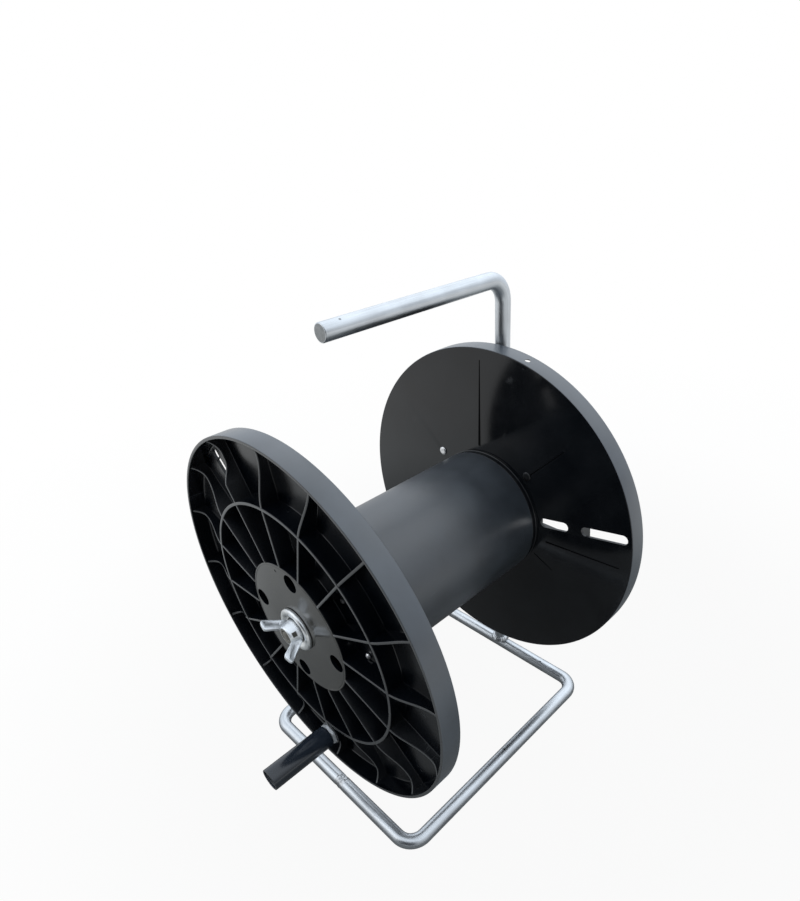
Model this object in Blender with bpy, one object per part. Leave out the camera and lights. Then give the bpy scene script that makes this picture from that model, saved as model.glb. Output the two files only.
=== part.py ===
import bpy
import bmesh
import math
from mathutils import Vector

# Hand cable reel, metres, +Z up, axle along Y.
# The origin is the floor point under the upright rod, which stands at the back.

# Gaps shared by all pieces
seat_gap = 0.0003
edge_break = 0.0006
cut_margin = 0.004

# Rod of the stand
rod_radius = 0.00625
rod_sides = 16
loop_half_width = 0.0995
loop_length = 0.2401
loop_corner_radius = 0.0160
handle_height = 0.39335
handle_reach = 0.1757
handle_bend_radius = 0.0180
handle_end_chamfer = 0.0008
corner_steps = 5

# Welds
butt_weld_centre = 0.0082
butt_weld_length = 0.0104
butt_weld_waist = 0.0003
foot_weld_radius = 0.0098
foot_weld_height = 0.0042
foot_weld_top = 0.0005
axle_weld_radius = 0.0088
weld_toe = 0.0008

# Spool
axle_height = 0.19515
spool_mid_y = -0.1245
inner_half_gap = 0.100
flange_radius = 0.150
flange_depth = 0.016
rim_wall = 0.0024
rim_draft = 0.0004
rim_fillet = 0.0016
web_thickness = 0.0022
flange_segments = 60
barrel_radius = 0.0592
barrel_segments = 48

# Hub cup, with the spigot inside the barrel and the collar beside it
hub_radius = 0.0555
hub_wall = 0.0026
hub_plate = 0.0028
hub_drop = 0.0008
hub_tube_wall = 0.0050
spigot_length = 0.0164
collar_radius = 0.0588
collar_length = 0.0044
hub_hole_count = 4
hub_hole_circle = 0.0458
hub_hole_radius = 0.0072

# Ribs: level from the hub to the ring, then dipped, then up to the rim
rib_count = 16
rib_thickness = 0.0024
rib_drop = 0.0003
rib_dip = 0.0073
rib_dip_inset = 0.0130
rib_dip_power = 1.8
rib_steps_down = 5
rib_steps_up = 4
ring_radius = 0.1019
ring_thickness = 0.0026
ring_drop = 0.0001

# Angles about the axle, in degrees from +X towards +Z
front_rib_phase = 3.2
rear_rib_phase = 21.55
front_hub_hole_phase = -7.5
rear_hub_hole_phase = 55.3
front_slot_angle = 127.2
rear_slot_angle = 10.3
front_rivet_angles = (6.6, 43.0)
rear_rivet_angles = (137.4, 47.4)
rim_hole_angle = 75.2
crank_angle = 273.4
nut_wing_angle = 150.8

# Openings in the flanges
slot_width = 0.0085
slot_cut_height = 0.0082
short_slot_start = 0.0640
short_slot_end = 0.0920
long_slot_start = 0.1045
long_slot_margin = 0.0040
slot_end_steps = 6
rim_hole_depth = 0.0074
rim_hole_radius = 0.00225

# Rivets
rivet_circle = 0.0691
rivet_shank_radius = 0.0020
rivet_head_radius = 0.0039
rivet_head_height = 0.0011
rivet_tail_radius = 0.0025
rivet_tail_height = 0.0018
rivet_dome_shares = ((0.45, 1.0), (0.92, 0.75))
rivet_tail_shares = ((0.9, 0.7), (0.5, 1.0))

# Axle, pressure washer and wing nut
axle_radius = 0.0050
axle_thread_radius = 0.0040
axle_shoulder_inset = 0.0006
axle_reach = 0.0113
clamp_radius = 0.0179
clamp_sheet = 0.0013
clamp_height = 0.0034
clamp_groove_radius = 0.0128
clamp_fold = 0.0010
clamp_side_share = 0.5
clamp_edge_share = 0.9
clamp_crown_share = 0.88
nut_base_radius = 0.0092
nut_base_height = 0.0016
nut_top_radius = 0.0074
nut_boss_height = 0.0092
nut_wing_span = 0.0200
nut_wing_height = 0.0193
nut_wing_thickness = 0.0034

# Crank: boss, nut, bolt and turning grip
crank_inset = 0.0315
crank_boss_radius = 0.0104
crank_boss_drop = 0.0018
crank_seat_margin = 0.0007
crank_bolt_radius = 0.0030
crank_nut_flats = 0.0170
crank_nut_height = 0.0032
crank_nut_turn = 40.0
crank_nut_crown_share = 0.96
crank_nut_chamfer_slope = 0.5
crank_head_radius = 0.0046
crank_head_height = 0.0028
grip_radius = 0.0095
grip_length = 0.0583
grip_rim_wall = 0.0014
grip_recess_depth = 0.0080
grip_tube_radius = 0.0063
grip_tube_wall = 0.0012
grip_tube_inset = 0.0012

# Colours
zinc = (0.62, 0.64, 0.66, 1.0)
weld_grey = (0.50, 0.51, 0.52, 1.0)
aluminium = (0.75, 0.75, 0.76, 1.0)
black = (0.012, 0.014, 0.018, 1.0)

front_side = -1.0
rear_side = 1.0
spool_origin = (0.0, spool_mid_y, axle_height)


def clear_scene():
    for item in list(bpy.data.objects):
        bpy.data.objects.remove(item, do_unlink=True)


def polar(radius, degrees):
    angle = math.radians(degrees)
    return radius * math.cos(angle), radius * math.sin(angle)


def hub_face():
    return inner_half_gap + flange_depth - hub_drop


# Places that follow the flange's rim
def rib_dip_turn():
    return flange_radius - rib_dip_inset


def crank_circle():
    return flange_radius - crank_inset


def long_slot_end():
    return flange_radius - long_slot_margin


def rod_corner_radius():
    return rod_radius / math.cos(math.pi / rod_sides)


# Turns a bmesh into a named object with its own material
def finish_mesh(name, bm, origin, colour, metallic, roughness, sharp=None):
    bmesh.ops.recalc_face_normals(bm, faces=bm.faces)
    mesh = bpy.data.meshes.new(name)
    bm.to_mesh(mesh)
    bm.free()
    item = bpy.data.objects.new(name, mesh)
    item.location = origin
    bpy.context.scene.collection.objects.link(item)
    material = bpy.data.materials.new(name + "_surface")
    material.use_nodes = True
    shader = material.node_tree.nodes["Principled BSDF"]
    shader.inputs["Base Color"].default_value = colour
    shader.inputs["Metallic"].default_value = metallic
    shader.inputs["Roughness"].default_value = roughness
    mesh.materials.append(material)
    if sharp is not None:
        smooth_round(item, sharp)
    return item


def smooth_round(item, degrees):
    item.data.shade_smooth()
    item.data.set_sharp_from_angle(angle=math.radians(degrees))


# Joins rows of vertices into quads; a closed direction meets its own start
def ring_faces(bm, rows, closed_rows):
    row_steps = len(rows) if closed_rows else len(rows) - 1
    side_total = len(rows[0])
    for i in range(row_steps):
        here = rows[i]
        following = rows[(i + 1) % len(rows)]
        for j in range(side_total):
            k = (j + 1) % side_total
            bm.faces.new((here[j], here[k], following[k], following[j]))


def cap_ends(bm, rows):
    bm.faces.new(rows[0])
    bm.faces.new(rows[-1])


def around_axis(axis, radius, along, angle):
    c = radius * math.cos(angle)
    s = radius * math.sin(angle)
    if axis == "X":
        return Vector((along, c, s))
    if axis == "Y":
        return Vector((c, along, s))
    return Vector((c, s, along))


# A closed section of (radius, distance along the axis), turned into a ring
def add_ring(bm, section, segments, axis, centre=(0.0, 0.0, 0.0)):
    rows = []
    for i in range(segments):
        angle = 2.0 * math.pi * i / segments
        row = [around_axis(axis, r, a, angle) + Vector(centre) for r, a in section]
        rows.append([bm.verts.new(point) for point in row])
    ring_faces(bm, rows, True)


# A section from one end of the axis to the other, turned into a solid pin
def add_pin(bm, section, segments, axis, centre=(0.0, 0.0, 0.0)):
    rows = []
    for radius, along in section:
        angles = [2.0 * math.pi * i / segments for i in range(segments)]
        row = [around_axis(axis, radius, along, angle) + Vector(centre) for angle in angles]
        rows.append([bm.verts.new(point) for point in row])
    ring_faces(bm, rows, False)
    cap_ends(bm, rows)


# A plate whose outline lies in two directions, thick both ways across them
def add_plate(bm, outline, centre, first, second, across, thickness):
    rows = []
    for side in (-0.5, 0.5):
        shift = Vector(centre) + Vector(across) * thickness * side
        row = [shift + Vector(first) * a + Vector(second) * b for a, b in outline]
        rows.append([bm.verts.new(point) for point in row])
    ring_faces(bm, rows, False)
    cap_ends(bm, rows)


def combine(target, bm, suffix, operation):
    other = finish_mesh(target.name + suffix, bm, target.location, black, 0.0, 0.4)
    other.hide_render = True
    other.display_type = "WIRE"
    modifier = target.modifiers.new(operation.lower() + suffix, "BOOLEAN")
    modifier.operation = operation
    modifier.solver = "EXACT"
    modifier.object = other


# Replaces each inner corner of a path by an arc
def rounded_path(corners, radius):
    path = [Vector(corners[0])]
    for i in range(1, len(corners) - 1):
        corner = Vector(corners[i])
        back = (Vector(corners[i - 1]) - corner).normalized()
        front = (Vector(corners[i + 1]) - corner).normalized()
        half_turn = back.angle(front) / 2.0
        reach = radius / math.tan(half_turn)
        middle = corner + (back + front).normalized() * radius / math.sin(half_turn)
        start = corner + back * reach - middle
        end = corner + front * reach - middle
        sweep = start.angle(end)
        for j in range(corner_steps + 1):
            t = j / corner_steps
            a = math.sin((1.0 - t) * sweep) / math.sin(sweep)
            b = math.sin(t * sweep) / math.sin(sweep)
            path.append(middle + start * a + end * b)
    path.append(Vector(corners[-1]))
    return path


# A rod along a flat bent path; flats of its section face the path's normal
def make_rod(name, path, normal, end_chamfer):
    stations = []
    for i, point in enumerate(path):
        ahead = path[min(i + 1, len(path) - 1)] - path[max(i - 1, 0)]
        stations.append((point, ahead.normalized(), rod_radius))
    if end_chamfer > 0.0:
        point, heading, size = stations.pop()
        stations.append((point - heading * end_chamfer, heading, size))
        stations.append((point, heading, size - end_chamfer))
    bm = bmesh.new()
    rows = []
    for point, heading, size in stations:
        across = heading.cross(normal).normalized()
        reach = size / math.cos(math.pi / rod_sides)
        row = []
        for i in range(rod_sides):
            angle = 2.0 * math.pi * (i + 0.5) / rod_sides
            spoke = normal * math.cos(angle) + across * math.sin(angle)
            row.append(bm.verts.new(point + spoke * reach))
        rows.append(row)
    ring_faces(bm, rows, False)
    cap_ends(bm, rows)
    return finish_mesh(name, bm, (0.0, 0.0, 0.0), zinc, 1.0, 0.3, 40.0)


def make_base_loop():
    z = rod_radius
    side = loop_half_width
    front = -loop_length
    weld_reach = butt_weld_length / 2.0 + seat_gap
    corners = [
        (butt_weld_centre + weld_reach, front, z),
        (side, front, z),
        (side, 0.0, z),
        (-side, 0.0, z),
        (-side, front, z),
        (butt_weld_centre - weld_reach, front, z),
    ]
    path = rounded_path(corners, loop_corner_radius)
    make_rod("base_loop", path, Vector((0.0, 0.0, 1.0)), 0.0)


def foot_height():
    return rod_radius * 2.0 + seat_gap


def make_carry_handle():
    corners = [
        (0.0, 0.0, foot_height()),
        (0.0, 0.0, handle_height),
        (0.0, -handle_reach, handle_height),
    ]
    path = rounded_path(corners, handle_bend_radius)
    make_rod("carry_handle", path, Vector((1.0, 0.0, 0.0)), handle_end_chamfer)


def make_base_butt_weld():
    half = butt_weld_length / 2.0
    waist = rod_radius - butt_weld_waist
    section = [
        (waist - edge_break, -half),
        (waist, -half + edge_break),
        (rod_radius, -half * 0.5),
        (waist, 0.0),
        (rod_radius, half * 0.5),
        (waist, half - edge_break),
        (waist - edge_break, half),
    ]
    bm = bmesh.new()
    add_pin(bm, section, rod_sides, "X")
    place = (butt_weld_centre, -loop_length, rod_radius)
    finish_mesh("base_butt_weld", bm, place, weld_grey, 1.0, 0.5, 40.0)


def make_foot_weld():
    inner = rod_corner_radius() + seat_gap
    low = foot_height()
    high = low + foot_weld_height
    section = [
        (inner, low),
        (foot_weld_radius - edge_break, low),
        (foot_weld_radius, low + weld_toe),
        (inner + foot_weld_top * 3.0, high - weld_toe),
        (inner + foot_weld_top, high),
        (inner, high),
    ]
    bm = bmesh.new()
    add_ring(bm, section, rod_sides, "Z")
    finish_mesh("foot_weld", bm, (0.0, 0.0, 0.0), weld_grey, 1.0, 0.5, 40.0)


def rod_face():
    return -spool_mid_y - rod_corner_radius() - seat_gap


def make_axle():
    shoulder = -hub_face() + axle_shoulder_inset
    tip = -hub_face() - axle_reach
    section = [
        (axle_radius, rod_face()),
        (axle_radius, shoulder),
        (axle_thread_radius, shoulder),
        (axle_thread_radius, tip + edge_break),
        (axle_thread_radius - edge_break, tip),
    ]
    bm = bmesh.new()
    add_pin(bm, section, 20, "Y")
    finish_mesh("axle", bm, spool_origin, zinc, 1.0, 0.35, 35.0)


def make_axle_weld():
    bore = axle_radius + seat_gap
    rear = rod_face()
    front = hub_face() + seat_gap
    section = [
        (bore, rear),
        (axle_weld_radius - edge_break, rear),
        (axle_weld_radius, rear - edge_break),
        (axle_weld_radius - edge_break * 2.0, front),
        (bore, front),
    ]
    bm = bmesh.new()
    add_ring(bm, section, 20, "Y")
    finish_mesh("axle_weld", bm, spool_origin, weld_grey, 1.0, 0.5, 35.0)


# Heights in a flange are counted outwards from its face towards the barrel
def flange_section(side):
    rim_inner = flange_radius - rim_wall
    rim_foot = rim_inner - rim_draft
    ring_outer = ring_radius + ring_thickness / 2.0
    ring_inner = ring_radius - ring_thickness / 2.0
    ring_level = flange_depth - ring_drop
    hub_level = flange_depth - hub_drop
    hub_inner = hub_radius - hub_wall
    bore = axle_radius + seat_gap
    tube = bore + hub_tube_wall
    plate = hub_level - hub_plate
    section = [
        (flange_radius, 0.0),
        (flange_radius, flange_depth),
        (rim_inner, flange_depth),
        (rim_foot, web_thickness + rim_fillet),
        (rim_foot - rim_fillet, web_thickness),
        (ring_outer, web_thickness),
        (ring_outer, ring_level),
        (ring_inner, ring_level),
        (ring_inner, web_thickness),
        (hub_radius, web_thickness),
        (hub_radius, hub_level),
        (bore, hub_level),
        (bore, -spigot_length),
        (tube, -spigot_length),
        (tube, plate),
        (hub_inner, plate),
        (hub_inner, -spigot_length),
        (hub_radius, -spigot_length),
        (hub_radius, -collar_length),
        (collar_radius, -collar_length),
        (collar_radius, 0.0),
    ]
    return [(r, side * (inner_half_gap + h)) for r, h in section]


def rib_end():
    return flange_radius - rim_wall / 2.0


# Height of a rib's top at a radius
def rib_top(radius):
    level = flange_depth - rib_drop
    if radius <= ring_radius:
        return level
    turn = rib_dip_turn()
    if radius <= turn:
        u = (radius - ring_radius) / (turn - ring_radius)
        return level - rib_dip * math.sin(u * math.pi / 2.0) ** rib_dip_power
    u = (radius - turn) / (rib_end() - turn)
    return level - rib_dip * (1.0 - u * u)


def rib_outline():
    start = hub_radius - hub_wall / 2.0
    low = web_thickness / 2.0
    turn = rib_dip_turn()
    radii = [hub_radius + hub_wall, ring_radius]
    for i in range(1, rib_steps_down + 1):
        radii.append(ring_radius + (turn - ring_radius) * i / rib_steps_down)
    for i in range(1, rib_steps_up + 1):
        radii.append(turn + (rib_end() - turn) * i / rib_steps_up)
    outline = [(start, low), (start, flange_depth - hub_drop - rib_drop)]
    outline += [(radius, rib_top(radius)) for radius in radii]
    outline.append((rib_end(), low))
    return outline


def add_ribs(flange, side, phase):
    bm = bmesh.new()
    outline = rib_outline()
    for i in range(rib_count):
        c, s = polar(1.0, phase + 360.0 * i / rib_count)
        base = (0.0, side * inner_half_gap, 0.0)
        add_plate(bm, outline, base, (c, 0.0, s), (0.0, side, 0.0), (-s, 0.0, c), rib_thickness)
    combine(flange, bm, "_ribs", "UNION")


# The crank's boss, and the round seat that trims the ribs around its nut
def add_crank_boss(flange, side):
    x, z = polar(crank_circle(), crank_angle)
    low = inner_half_gap + web_thickness / 2.0
    high = inner_half_gap + flange_depth - crank_boss_drop
    bm = bmesh.new()
    add_pin(bm, [(crank_boss_radius, side * h) for h in (low, high)], 20, "Y", (x, 0.0, z))
    combine(flange, bm, "_boss", "UNION")
    top = inner_half_gap + flange_depth + cut_margin
    seat = crank_nut_corner() + crank_seat_margin
    bm = bmesh.new()
    add_pin(bm, [(seat, side * h) for h in (high, top)], 20, "Y", (x, 0.0, z))
    combine(flange, bm, "_seat", "DIFFERENCE")


def slot_outline(start, end):
    half = slot_width / 2.0
    outline = []
    for centre, turn in ((end - half, -90.0), (start + half, 90.0)):
        for i in range(slot_end_steps + 1):
            a, b = polar(half, turn + 180.0 * i / slot_end_steps)
            outline.append((centre + a, b))
    return outline


def hole_outline(distance, radius, steps):
    outline = []
    for i in range(steps):
        a, b = polar(radius, 360.0 * (i + 0.5) / steps)
        outline.append((distance + a, b))
    return outline


# A cutter through the flange between two heights, turned about the axle
def add_cutter(bm, outline, degrees, side, low, high):
    c, s = polar(1.0, degrees)
    middle = (0.0, side * (inner_half_gap + (low + high) / 2.0), 0.0)
    add_plate(bm, outline, middle, (c, 0.0, s), (-s, 0.0, c), (0.0, side, 0.0), high - low)


def add_rim_hole(bm, side):
    c, s = polar(1.0, rim_hole_angle)
    reach = flange_radius - rim_wall / 2.0
    height = side * (inner_half_gap + rim_hole_depth)
    centre = (c * reach, height, s * reach)
    outline = hole_outline(0.0, rim_hole_radius, 12)
    add_plate(bm, outline, centre, (-s, 0.0, c), (0.0, 1.0, 0.0), (c, 0.0, s), rim_wall * 3.0)


def make_flange(name, side, rib_phase, hole_phase, slot_angle, rivet_angles):
    bm = bmesh.new()
    add_ring(bm, flange_section(side), flange_segments, "Y")
    flange = finish_mesh(name, bm, spool_origin, black, 0.0, 0.32)
    add_ribs(flange, side, rib_phase)
    if side == front_side:
        add_crank_boss(flange, side)
    bm = bmesh.new()
    for start, end in ((short_slot_start, short_slot_end), (long_slot_start, long_slot_end())):
        outline = slot_outline(start, end)
        add_cutter(bm, outline, slot_angle, side, -cut_margin, slot_cut_height)
    plate_top = flange_depth - hub_drop
    outline = hole_outline(hub_hole_circle, hub_hole_radius, 16)
    for i in range(hub_hole_count):
        angle = hole_phase + 360.0 * i / hub_hole_count
        low = plate_top - hub_plate - cut_margin
        add_cutter(bm, outline, angle, side, low, plate_top + cut_margin)
    outline = hole_outline(rivet_circle, rivet_shank_radius + seat_gap, 12)
    for angle in rivet_angles:
        add_cutter(bm, outline, angle, side, -cut_margin, slot_cut_height)
    if side == front_side:
        outline = hole_outline(crank_circle(), crank_bolt_radius + seat_gap, 12)
        add_cutter(bm, outline, crank_angle, side, -cut_margin, flange_depth + cut_margin)
    else:
        add_rim_hole(bm, side)
    combine(flange, bm, "_openings", "DIFFERENCE")
    smooth_round(flange, 35.0)


def make_barrel():
    inner = hub_radius + seat_gap
    half = inner_half_gap - collar_length - seat_gap
    section = [(inner, -half), (barrel_radius, -half), (barrel_radius, half), (inner, half)]
    bm = bmesh.new()
    add_ring(bm, section, barrel_segments, "Y")
    finish_mesh("barrel", bm, spool_origin, black, 0.0, 0.4, 35.0)


def make_rivet(name, side, degrees):
    head_base = -seat_gap
    tail_base = web_thickness + seat_gap
    section = []
    for across, up in rivet_dome_shares:
        section.append((rivet_head_radius * across, head_base - rivet_head_height * up))
    section += [
        (rivet_head_radius, head_base),
        (rivet_shank_radius, head_base),
        (rivet_shank_radius, tail_base),
        (rivet_tail_radius, tail_base),
    ]
    for across, up in rivet_tail_shares:
        section.append((rivet_tail_radius * across, tail_base + rivet_tail_height * up))
    x, z = polar(rivet_circle, degrees)
    bm = bmesh.new()
    add_pin(bm, [(r, side * (inner_half_gap + h)) for r, h in section], 12, "Y", (x, 0.0, z))
    finish_mesh(name, bm, spool_origin, aluminium, 1.0, 0.3, 35.0)


# A dished washer: flat middle, a groove round the nut and a folded lip
def make_pressure_washer():
    bore = axle_thread_radius + seat_gap
    seat = hub_face() + seat_gap
    groove = clamp_groove_radius
    outer = clamp_radius
    high = clamp_height
    sheet = clamp_sheet
    fold = clamp_fold
    section = [
        (bore, 0.0),
        (groove - fold, 0.0),
        (groove + fold, high - sheet),
        (outer - fold - sheet, high - sheet),
        (outer - sheet, 0.0),
        (outer, 0.0),
        (outer, high * clamp_side_share),
        (outer - fold, high * clamp_edge_share),
        (outer - fold - fold, high),
        (groove + fold, high * clamp_crown_share),
        (groove - fold, sheet),
        (bore, sheet),
    ]
    bm = bmesh.new()
    add_ring(bm, [(r, -(seat + h)) for r, h in section], 28, "Y")
    finish_mesh("pressure_washer", bm, spool_origin, zinc, 1.0, 0.28, 30.0)


# One wing, as shares of the span outwards and of the height forwards
def wing_outline():
    shares = [
        (0.275, 0.052),
        (0.480, 0.062),
        (0.540, 0.114),
        (0.680, 0.342),
        (0.830, 0.591),
        (0.950, 0.756),
        (1.000, 0.845),
        (0.980, 0.927),
        (0.870, 0.974),
        (0.730, 1.000),
        (0.630, 0.995),
        (0.580, 0.933),
        (0.490, 0.756),
        (0.410, 0.611),
        (0.360, 0.508),
        (0.275, 0.404),
    ]
    return [(a * nut_wing_span, b * nut_wing_height) for a, b in shares]


def make_wing_nut():
    bore = axle_thread_radius + seat_gap
    base = hub_face() + clamp_sheet + seat_gap * 2.0
    section = [
        (bore, 0.0),
        (nut_base_radius, 0.0),
        (nut_base_radius, nut_base_height),
        (nut_top_radius, nut_boss_height - edge_break),
        (nut_top_radius - edge_break, nut_boss_height),
        (bore, nut_boss_height),
    ]
    bm = bmesh.new()
    add_ring(bm, [(r, -(base + h)) for r, h in section], 24, "Y")
    nut = finish_mesh("wing_nut", bm, spool_origin, zinc, 1.0, 0.34)
    bm = bmesh.new()
    for turn in (0.0, 180.0):
        c, s = polar(1.0, nut_wing_angle + turn)
        add_plate(
            bm,
            wing_outline(),
            (0.0, -base, 0.0),
            (c, 0.0, s),
            (0.0, -1.0, 0.0),
            (-s, 0.0, c),
            nut_wing_thickness,
        )
    combine(nut, bm, "_wings", "UNION")
    smooth_round(nut, 30.0)


def crank_origin():
    x, z = polar(crank_circle(), crank_angle)
    return Vector(spool_origin) + Vector((x, 0.0, z))


def crank_nut_corner():
    return crank_nut_flats / 2.0 / math.cos(math.radians(30.0))


def crank_nut_base():
    return inner_half_gap + flange_depth - crank_boss_drop + seat_gap


def grip_start():
    return crank_nut_base() + crank_nut_height + seat_gap


def grip_floor():
    return grip_start() + grip_length - grip_recess_depth


# A hexagon nut: six flats, and corners cut back by a cone on its outer end
def make_crank_nut():
    bore = crank_bolt_radius + seat_gap
    base = crank_nut_base()
    top = base + crank_nut_height
    crown = crank_nut_flats / 2.0 * crank_nut_crown_share
    bm = bmesh.new()
    rows = []
    for i in range(24):
        off_flat = (15.0 * i) % 60.0 - 30.0
        reach = crank_nut_flats / 2.0 / math.cos(math.radians(off_flat))
        shoulder = top - (reach - crown) * crank_nut_chamfer_slope
        section = [(bore, base), (reach, base), (reach, shoulder), (crown, top), (bore, top)]
        angle = math.radians(crank_nut_turn + 15.0 * i)
        rows.append([bm.verts.new(around_axis("Y", r, -h, angle)) for r, h in section])
    ring_faces(bm, rows, True)
    bmesh.ops.triangulate(bm, faces=bm.faces)
    finish_mesh("crank_nut", bm, crank_origin(), zinc, 1.0, 0.3, 20.0)


def make_crank_bolt():
    head = grip_floor() + seat_gap
    section = [
        (crank_bolt_radius, inner_half_gap + seat_gap),
        (crank_bolt_radius, head),
        (crank_head_radius, head),
        (crank_head_radius, head + crank_head_height - edge_break),
        (crank_head_radius - edge_break, head + crank_head_height),
    ]
    bm = bmesh.new()
    add_pin(bm, [(r, -h) for r, h in section], 16, "Y")
    finish_mesh("crank_bolt", bm, crank_origin(), zinc, 1.0, 0.35, 30.0)


# The grip's open end has a ring-shaped recess round an inner tube
def make_crank_grip():
    bore = crank_bolt_radius + seat_gap
    start = grip_start()
    end = start + grip_length
    tube_end = end - grip_tube_inset
    tube_inner = grip_tube_radius - grip_tube_wall
    floor_level = grip_floor()
    section = [
        (bore, start),
        (grip_radius - edge_break, start),
        (grip_radius, start + edge_break),
        (grip_radius, end - edge_break),
        (grip_radius - edge_break, end),
        (grip_radius - grip_rim_wall, end),
        (grip_radius - grip_rim_wall, floor_level),
        (grip_tube_radius, floor_level),
        (grip_tube_radius, tube_end),
        (tube_inner, tube_end),
        (tube_inner, floor_level),
        (bore, floor_level),
    ]
    bm = bmesh.new()
    add_ring(bm, [(r, -h) for r, h in section], 24, "Y")
    finish_mesh("crank_grip", bm, crank_origin(), black, 0.0, 0.25, 30.0)


def make_stand():
    make_base_loop()
    make_carry_handle()
    make_base_butt_weld()
    make_foot_weld()
    make_axle()
    make_axle_weld()


def make_spool():
    make_flange(
        "front_flange",
        front_side,
        front_rib_phase,
        front_hub_hole_phase,
        front_slot_angle,
        front_rivet_angles,
    )
    make_flange(
        "rear_flange",
        rear_side,
        rear_rib_phase,
        rear_hub_hole_phase,
        rear_slot_angle,
        rear_rivet_angles,
    )
    make_barrel()
    for i, angle in enumerate(front_rivet_angles):
        make_rivet("front_rivet_" + str(i + 1), front_side, angle)
    for i, angle in enumerate(rear_rivet_angles):
        make_rivet("rear_rivet_" + str(i + 1), rear_side, angle)


def make_crank():
    make_crank_nut()
    make_crank_bolt()
    make_crank_grip()


def make_clamp():
    make_pressure_washer()
    make_wing_nut()


clear_scene()
make_stand()
make_spool()
make_crank()
make_clamp()
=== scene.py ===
import bpy
import bmesh
import math
from mathutils import Matrix, Vector, noise


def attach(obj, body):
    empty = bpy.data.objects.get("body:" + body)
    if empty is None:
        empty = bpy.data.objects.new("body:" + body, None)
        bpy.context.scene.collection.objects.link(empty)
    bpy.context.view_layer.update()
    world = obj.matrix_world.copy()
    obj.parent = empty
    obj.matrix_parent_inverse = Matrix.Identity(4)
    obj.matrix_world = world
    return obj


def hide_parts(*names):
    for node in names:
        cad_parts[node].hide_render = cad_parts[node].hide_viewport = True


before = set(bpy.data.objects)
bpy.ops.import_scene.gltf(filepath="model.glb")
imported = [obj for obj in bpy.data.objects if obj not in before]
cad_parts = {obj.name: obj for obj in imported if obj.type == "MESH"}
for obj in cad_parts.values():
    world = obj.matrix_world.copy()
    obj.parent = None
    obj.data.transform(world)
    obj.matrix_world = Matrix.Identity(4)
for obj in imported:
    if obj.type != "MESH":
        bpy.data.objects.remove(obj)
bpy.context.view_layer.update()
scene = bpy.context.scene
print("packed model loaded")

# Where the axle crosses the middle of the spool
axleCentre = Vector((0.0, -0.1245, 0.19515))
front = -1.0
rear = 1.0
square = ((-1, -1), (1, -1), (1, 1), (-1, 1))


# Small helpers for the finishes, then one function per kind of finish

# Feeds a socket from another node, or with a fixed value or colour
def feed(tree, socket, value):
    if isinstance(value, bpy.types.NodeSocket):
        tree.links.new(value, socket)
    else:
        socket.default_value = (*value, 1.0) if socket.type == "RGBA" else value


def addNode(tree, kind, sockets=None, settings=None):
    node = tree.nodes.new("ShaderNode" + kind)
    for key, value in (settings or {}).items():
        setattr(node, key, value)
    for key, value in (sockets or {}).items():
        feed(tree, node.inputs[key], value)
    return node


def startMaterial(name, metallic, specular=0.5):
    material = bpy.data.materials.new(name)
    material.use_nodes = True
    tree = material.node_tree
    shader = tree.nodes["Principled BSDF"]
    shader.inputs["Metallic"].default_value = metallic
    shader.inputs["Specular IOR Level"].default_value = specular
    return material, tree, shader, addNode(tree, "TexCoord").outputs["Object"]


def cloud(tree, place, scale, detail=3.0, stretch=None, roughness=0.55):
    if stretch:
        place = addNode(tree, "Mapping", {"Vector": place, "Scale": stretch}).outputs["Vector"]
    sockets = {"Vector": place, "Scale": scale, "Detail": detail, "Roughness": roughness}
    return addNode(tree, "TexNoise", sockets).outputs["Fac"]


def remap(tree, value, low, high, newLow=0.0, newHigh=1.0):
    sockets = {"From Min": low, "From Max": high, "To Min": newLow, "To Max": newHigh}
    sockets["Value"] = value
    return addNode(tree, "MapRange", sockets, {"clamp": True}).outputs["Result"]


def calc(tree, operation, first, second):
    node = addNode(tree, "Math", {0: first, 1: second}, {"operation": operation})
    return node.outputs["Value"]


def tint(tree, share, first, second):
    sockets = {"Factor": share, 6: first, 7: second}
    return addNode(tree, "Mix", sockets, {"data_type": "RGBA"}).outputs[2]


def relief(tree, shader, height, strength, distance, under=None):
    sockets = {"Height": height, "Strength": strength, "Distance": distance}
    if under is not None:
        sockets["Normal"] = under
    raised = addNode(tree, "Bump", sockets).outputs["Normal"]
    tree.links.new(raised, shader.inputs["Normal"])
    return raised


def paint(tree, shader, colour, rough):
    feed(tree, shader.inputs["Base Color"], colour)
    feed(tree, shader.inputs["Roughness"], rough)


# One finish per row, with its values under the columns' names
def finishTable(columns, rows):
    names = columns.split()
    return {name: dict(zip(names, row)) for name, row in rows.items()}


grainDepth = 0.0003  # how high a finish's fine grain stands, in metres

zincValues = finishTable("dark light rough grain pits dents", {
    "standZinc": ((0.46, 0.48, 0.50), (0.62, 0.65, 0.68), (0.32, 0.40), 260.0, 0.045, 0.012),
    "washerZinc": ((0.56, 0.57, 0.57), (0.78, 0.80, 0.81), (0.26, 0.38), 420.0, 0.02, 0.04),
    "wingNutZinc": ((0.70, 0.73, 0.76), (0.88, 0.91, 0.94), (0.32, 0.44), 520.0, 0.02, 0.03),
    # A dark zinc, painted shade: on the axle, the crank bolt down in its recess, and the wing nut's
    # bore and dent
    "screwSteelPaintedShade": ((0.12, 0.115, 0.10), (0.24, 0.23, 0.21), (0.34, 0.50), 500.0, 0.03, 0.08),
    # The carry handle's end face: the stand's zinc painted darker, as shade
    "rodEndPaintedShade": ((0.22, 0.23, 0.235), (0.34, 0.35, 0.355), (0.38, 0.50), 420.0, 0.02, 0.05),
    # The crank nut's zinc, painted far paler than the other zinc: painted light against the shade
    # round it
    "crankNutPaintedLight": ((0.80, 0.83, 0.86), (0.92, 0.94, 0.96), (0.48, 0.62), 420.0, 0.02, 0.03),
})
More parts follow.
